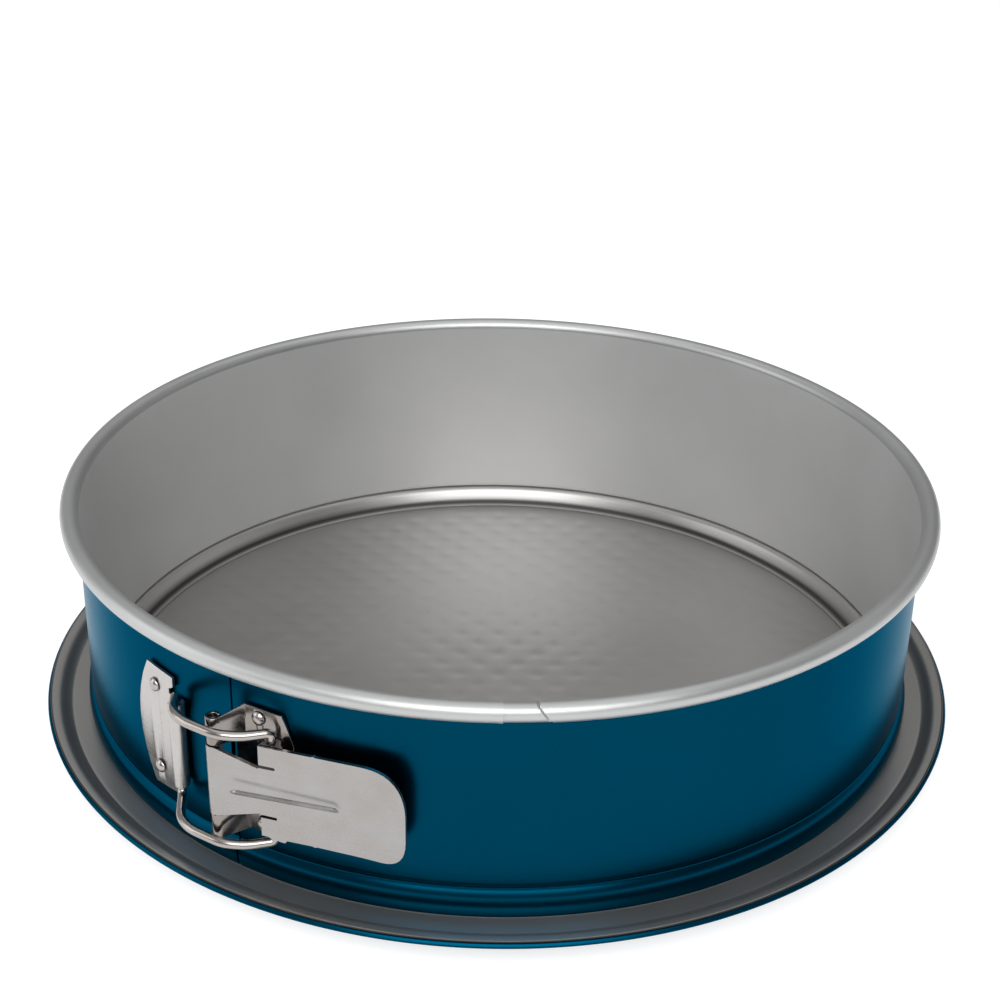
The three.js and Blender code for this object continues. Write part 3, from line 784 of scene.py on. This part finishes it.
def rounded_route(points, corner, per_corner=10):
    out = [Vector(points[0])]
    for i in range(1, len(points) - 1):
        p, q, r = Vector(points[i - 1]), Vector(points[i]), Vector(points[i + 1])
        reach = min(corner, (p - q).length * 0.49, (r - q).length * 0.49)
        start = q + (p - q).normalized() * reach
        end = q + (r - q).normalized() * reach
        for t in np.linspace(0, 1, per_corner + 1):
            out.append(start * (1 - t) ** 2 + q * 2 * t * (1 - t) + end * t * t)
    out.append(Vector(points[-1]))
    return out


def build_bail():
    keeper_y = PIN_RING - sqrt(BARREL_RING**2 - KEEPER_X**2)
    clear = PIN_BORE + PLATE_SHEET + WIRE + 0.7
    arm = [(PIVOT_X, PIVOT_Y), (9.5, -1.2), (4, -clear), (-6.5, -clear), (-11.5, -1.8),
           (-KEEPER_X, keeper_y)]
    stub = LEVER_HALF - 0.6
    heights = [BAIL_HALF] * (len(arm) - 1) + [BAIL_HALF - 1.3]
    points = [(PIVOT_X, PIVOT_Y, stub)] + [(x, y, z) for (x, y), z in zip(arm, heights)]
    points += [(x, y, -z) for (x, y), z in list(zip(arm, heights))[::-1]]
    points += [(PIVOT_X, PIVOT_Y, -stub)]
    route = rounded_route(points, 2.4)
    world = [(to_pin @ (p * MM)) / MM for p in route]
    bail = tube("bail_wire", world, WIRE, wire_steel, sides=20)
    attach(bail, "bail")
    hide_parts("bail")


build_bail()

for node_name, metal in (("hinge_plate", hinge_steel), ("keeper_plate", keeper_steel)):
    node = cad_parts[node_name]
    node.data.materials.clear()
    node.data.materials.append(metal)
    smooth_by_angle(node, 32)
    add_bevel(node, 0.14)
for node_name in ("keeper_rivet_upper", "keeper_rivet_lower", "hinge_rivet_upper",
                  "hinge_rivet_lower", "hinge_pin"):
    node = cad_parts[node_name]
    node.data.materials.clear()
    node.data.materials.append(rivet_steel)
    smooth_by_angle(node, 50)
    add_bevel(node, 0.2, angle=30)


# ------------------------------------------------------------------ floor, lights, camera
def build_floor():
    floor = add_object("studio_floor", [Vector((-3, -3, 0)), Vector((3, -3, 0)),
                                        Vector((3, 3, 0)), Vector((-3, 3, 0))],
                       [(0, 1, 2, 3)], [])
    material, tree, shader = new_material("studio_paper", (0.5, 0.5, 0.5), 0.0, 0.8)
    two_tone(tree, shader, noise(tree, coords(tree), 6, 3), (0.49, 0.49, 0.49), (0.51, 0.51, 0.51))
    shader.inputs["Emission Color"].default_value = (1, 1, 1, 1)
    shader.inputs["Emission Strength"].default_value = 0.7
    floor.data.materials.append(material)
    floor.location.z = -0.0001


def area_light(name, location, target, size, size_y, power):
    light = bpy.data.lights.new(name, "AREA")
    light.shape = "RECTANGLE"
    light.size = size
    light.size_y = size_y
    light.energy = power
    obj = bpy.data.objects.new(name, light)
    obj.location = location
    obj.rotation_euler = (Vector(target) - Vector(location)).to_track_quat("-Z", "Y").to_euler()
    bpy.context.collection.objects.link(obj)


def build_world():
    world = bpy.data.worlds.new("studio")
    bpy.context.scene.world = world
    world.use_nodes = True
    tree = world.node_tree
    background = tree.nodes["Background"]
    background.inputs["Color"].default_value = (1, 1, 1, 1)
    source = tree.nodes.new("ShaderNodeTexCoord")
    lean = tree.nodes.new("ShaderNodeVectorMath")
    lean.operation = "DOT_PRODUCT"
    lean.inputs[1].default_value = (-0.3, 0.15, 0.9)
    tree.links.new(source.outputs["Generated"], lean.inputs[0])
    strength = ranged(tree, lean.outputs["Value"], 0.06, 0.42, -0.25, 0.75)
    tree.links.new(strength, background.inputs["Strength"])


build_floor()
build_world()
area_light("overhead", (0, 0.1, 1.3), (0, 0, 0), 1.4, 1.4, 4)
area_light("left_softbox", (-1.3, -0.2, 0.5), (0, 0, 0.03), 0.9, 0.9, 4)
area_light("right_softbox", (1.3, 0.2, 0.55), (0, 0, 0.03), 0.8, 0.9, 0.8)
area_light("front_high", (0.0, -1.3, 1.1), (0, 0.1, 0.04), 1.5, 1.1, 23)


def build_camera():
    distance, elevation, yaw, roll = 0.53067, radians(25.983), radians(-0.0124), radians(0.9916)
    pitch = elevation + radians(0.6572)
    forward = Vector((sin(yaw) * cos(pitch), cos(yaw) * cos(pitch), -sin(pitch)))
    side = Vector((cos(yaw), -sin(yaw), 0))
    up = side.cross(forward)
    right_way = side * cos(roll) + up * sin(roll)
    up_way = up * cos(roll) - side * sin(roll)
    camera = bpy.data.cameras.new("photo_view")
    camera.sensor_width = 36
    camera.lens = 65.74
    camera.clip_start = 0.01
    obj = bpy.data.objects.new("photo_view", camera)
    place = Vector((0, -distance * cos(elevation), distance * sin(elevation) + RIM_Z * MM))
    obj.matrix_world = Matrix.Translation(place) @ Matrix(
        (right_way, up_way, -forward)).transposed().to_4x4()
    bpy.context.collection.objects.link(obj)
    bpy.context.scene.camera = obj


build_camera()
bpy.context.scene.view_settings.view_transform = "Standard"
